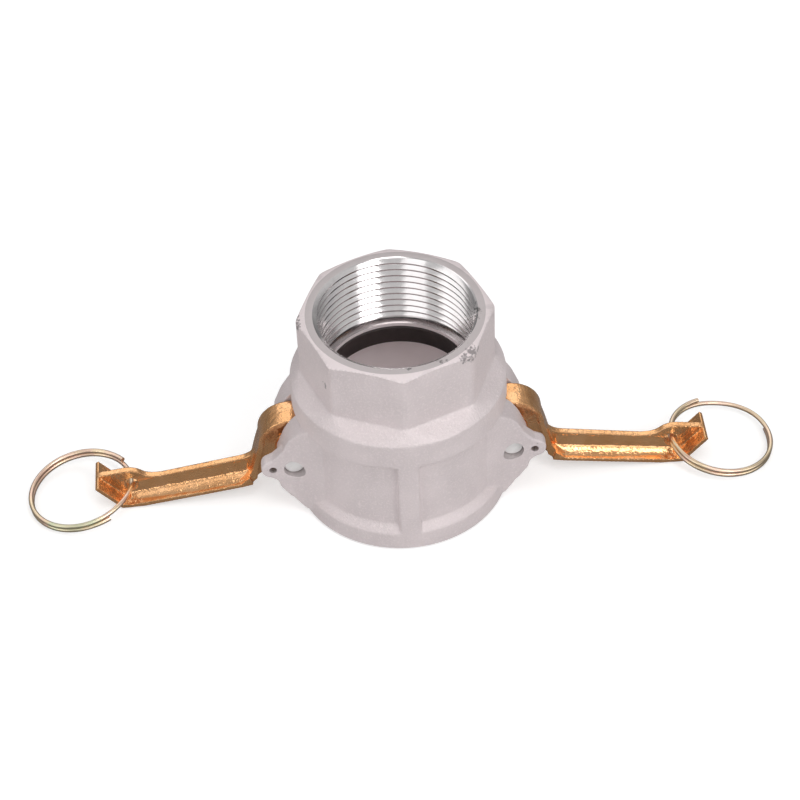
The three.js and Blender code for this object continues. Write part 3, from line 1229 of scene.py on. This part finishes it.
def add_floor(looks):
    """White paper to the eye, and a calmer grey in the reflections of the bright metal."""
    bpy.ops.object.select_all(action="DESELECT")
    bpy.ops.mesh.primitive_plane_add(size=8, location=(0, 0, -0.3 * MM))
    floor = settle(bpy.context.object)
    floor.name = "floor"
    finish = Finish("Pale Floor")
    tree = finish.tree
    finish.plain(base_color=(0.75, 0.75, 0.75, 1.0), roughness=0.9, emission_strength=0.42)
    finish.plain(emission_color=(1.0, 1.0, 1.0, 1.0))
    path = tree.nodes.new("ShaderNodeLightPath")
    surface = finish.shader.outputs["BSDF"]
    calm = tree.nodes.new("ShaderNodeBsdfDiffuse")
    calm.inputs["Color"].default_value = (*[looks.floor_reflection] * 3, 1.0)
    mix = tree.nodes.new("ShaderNodeMixShader")
    tree.links.new(path.outputs["Is Glossy Ray"], mix.inputs["Fac"])
    tree.links.new(surface, mix.inputs[1])
    tree.links.new(calm.outputs["BSDF"], mix.inputs[2])
    tree.links.new(mix.outputs["Shader"], tree.nodes["Material Output"].inputs["Surface"])
    floor.data.materials.append(finish.material)


def add_world(scene, looks):
    """Bright overhead, darker near the horizon, and plain white where the camera looks past."""
    world = bpy.data.worlds.new("Studio")
    world.use_nodes = True
    tree = world.node_tree
    tree.nodes.clear()
    place = tree.nodes.new("ShaderNodeTexCoord")
    split = tree.nodes.new("ShaderNodeSeparateXYZ")
    tree.links.new(place.outputs["Generated"], split.inputs["Vector"])
    levels = [(0.0, 0.3), (0.5, 0.2), (0.6, 0.3), (0.8, 0.75), (0.93, 0.7), (1.0, 0.4)]
    height = maths(tree, "ADD", maths(tree, "MULTIPLY", split.outputs["Z"], 0.5), 0.5)
    sky = ramp(tree, height, [(position, (level,) * 3) for position, level in levels])
    studio = tree.nodes.new("ShaderNodeBackground")
    studio.inputs["Strength"].default_value = looks.sky_strength
    tree.links.new(sky, studio.inputs["Color"])
    paper = tree.nodes.new("ShaderNodeBackground")
    paper.inputs["Color"].default_value = (1, 1, 1, 1)
    paper.inputs["Strength"].default_value = 1.1
    path = tree.nodes.new("ShaderNodeLightPath")
    mix = tree.nodes.new("ShaderNodeMixShader")
    tree.links.new(path.outputs["Is Camera Ray"], mix.inputs["Fac"])
    tree.links.new(studio.outputs["Background"], mix.inputs[1])
    tree.links.new(paper.outputs["Background"], mix.inputs[2])
    output = tree.nodes.new("ShaderNodeOutputWorld")
    tree.links.new(mix.outputs["Shader"], output.inputs["Surface"])
    scene.world = world


class CAMLOCK_OT_stage(bpy.types.Operator):
    """Set up the floor, the soft studio light and the camera"""

    bl_idname = "camlock.stage"
    bl_label = "Stage"

    def execute(self, context):
        scene = context.scene
        scene.view_settings.view_transform = "Standard"
        add_floor(scene.coupler_looks)
        add_world(scene, scene.coupler_looks)
        add_camera(scene)
        for box in SOFTBOXES:
            add_softbox(scene, *box)
        return {"FINISHED"}


# ---------------------------------------------------------------- settings and panel


def length_property(name, description, millimetres):
    return bpy.props.FloatProperty(
        name=name,
        description=description,
        default=millimetres * MM,
        unit="LENGTH",
        precision=5,
    )


class CouplerSizes(bpy.types.PropertyGroup):
    """Sizes that a user may change before the pieces are made."""

    cast_grid: length_property(
        "Casting Grid", "Spacing of the skin over the body's joined blanks", 0.36
    )
    cast_rounds: bpy.props.IntProperty(
        name="Casting Softness",
        description="Rounds of smoothing that give the body's corners their radius",
        default=3,
    )
    arm_grid: length_property(
        "Arm Grid", "Spacing of the skin over a cam arm's joined blanks", 0.2
    )
    arm_rounds: bpy.props.IntProperty(
        name="Arm Softness",
        description="Rounds of smoothing that give an arm's corners their radius",
        default=8,
    )
    thread_pitch: length_property(
        "Thread Pitch", "Distance between neighbouring crests of the pipe thread", 2.309
    )
    thread_root_radius: length_property(
        "Thread Root Radius", "Radius at the bottom of the thread groove", 23.45
    )
    wire_radius: length_property("Wire Radius", "Radius of the pull rings' round wire", 0.7)


def colour_property(name, description, default):
    return bpy.props.FloatVectorProperty(
        name=name,
        description=description,
        default=default,
        size=3,
        min=0,
        max=1,
        subtype="COLOR",
    )


def number_property(name, description, default):
    return bpy.props.FloatProperty(name=name, description=description, default=default)


class CouplerLooks(bpy.types.PropertyGroup):
    """Colours and finishes that a user may change before the pieces are made."""

    cast_colour: colour_property("Cast Aluminium", "Blasted skin of the body", (0.7, 0.625, 0.63))
    machined_colour: colour_property("Machined Aluminium", "Faced ends", (0.52, 0.47, 0.47))
    bored_colour: colour_property("Bored Aluminium", "Thread and bore", (0.84, 0.81, 0.81))
    brass_colour: colour_property("Brass", "Polished cam arms", (0.88, 0.5, 0.25))
    brass_stain: colour_property("Brass Stain", "Uneven tint of the arms", (0.78, 0.4, 0.17))
    # Painted reflection: the bright orange of the arms' lit hollows.
    brass_corner_reflection: colour_property("Brass Corner Reflection", "Inner corners of the arms", (0.8, 0.3, 0.07))
    rubber_colour: colour_property("Rubber", "Gasket", (0.04, 0.028, 0.027))
    steel_colour: colour_property("Steel", "Pivot pins", (0.93, 0.92, 0.91))
    zinc_colour: colour_property("Yellow Zinc", "Pull rings", (0.82, 0.66, 0.46))
    cast_grain: number_property("Cast Grain", "Fineness of the blasted grain", 1500.0)
    turning_lines: number_property("Turning Lines", "Fineness of the lathe tool's rings", 1400.0)
    floor_reflection: number_property(
        "Floor Reflection", "How bright the floor looks in polished metal", 0.22
    )
    sky_strength: number_property(
        "Sky Strength", "Brightness of the studio round the coupling", 0.8
    )


class CAMLOCK_PT_panel(bpy.types.Panel):
    """Lists the coupling's pieces and settings"""

    bl_idname = "CAMLOCK_PT_panel"
    bl_label = "Camlock Coupling"
    bl_space_type = "VIEW_3D"
    bl_region_type = "UI"
    bl_category = "Camlock"

    def draw(self, context):
        layout = self.layout
        for settings in (context.scene.coupler_sizes, context.scene.coupler_looks):
            column = layout.column(align=True)
            for label in settings.__annotations__:
                column.prop(settings, label)
        for operator in OPERATORS:
            layout.operator(operator.bl_idname)


OPERATORS = (
    CAMLOCK_OT_body,
    CAMLOCK_OT_gasket,
    CAMLOCK_OT_arms,
    CAMLOCK_OT_pins,
    CAMLOCK_OT_rings,
    CAMLOCK_OT_stage,
)
CLASSES = (CouplerSizes, CouplerLooks, *OPERATORS, CAMLOCK_PT_panel)


def register():
    for item in CLASSES:
        bpy.utils.register_class(item)
    bpy.types.Scene.coupler_sizes = bpy.props.PointerProperty(type=CouplerSizes)
    bpy.types.Scene.coupler_looks = bpy.props.PointerProperty(type=CouplerLooks)


def unregister():
    del bpy.types.Scene.coupler_looks
    del bpy.types.Scene.coupler_sizes
    for item in reversed(CLASSES):
        bpy.utils.unregister_class(item)


def main():
    register()
    bpy.ops.camlock.body()
    bpy.ops.camlock.gasket()
    bpy.ops.camlock.arms()
    bpy.ops.camlock.pins()
    bpy.ops.camlock.rings()
    bpy.ops.camlock.stage()


if __name__ == "__main__":
    main()
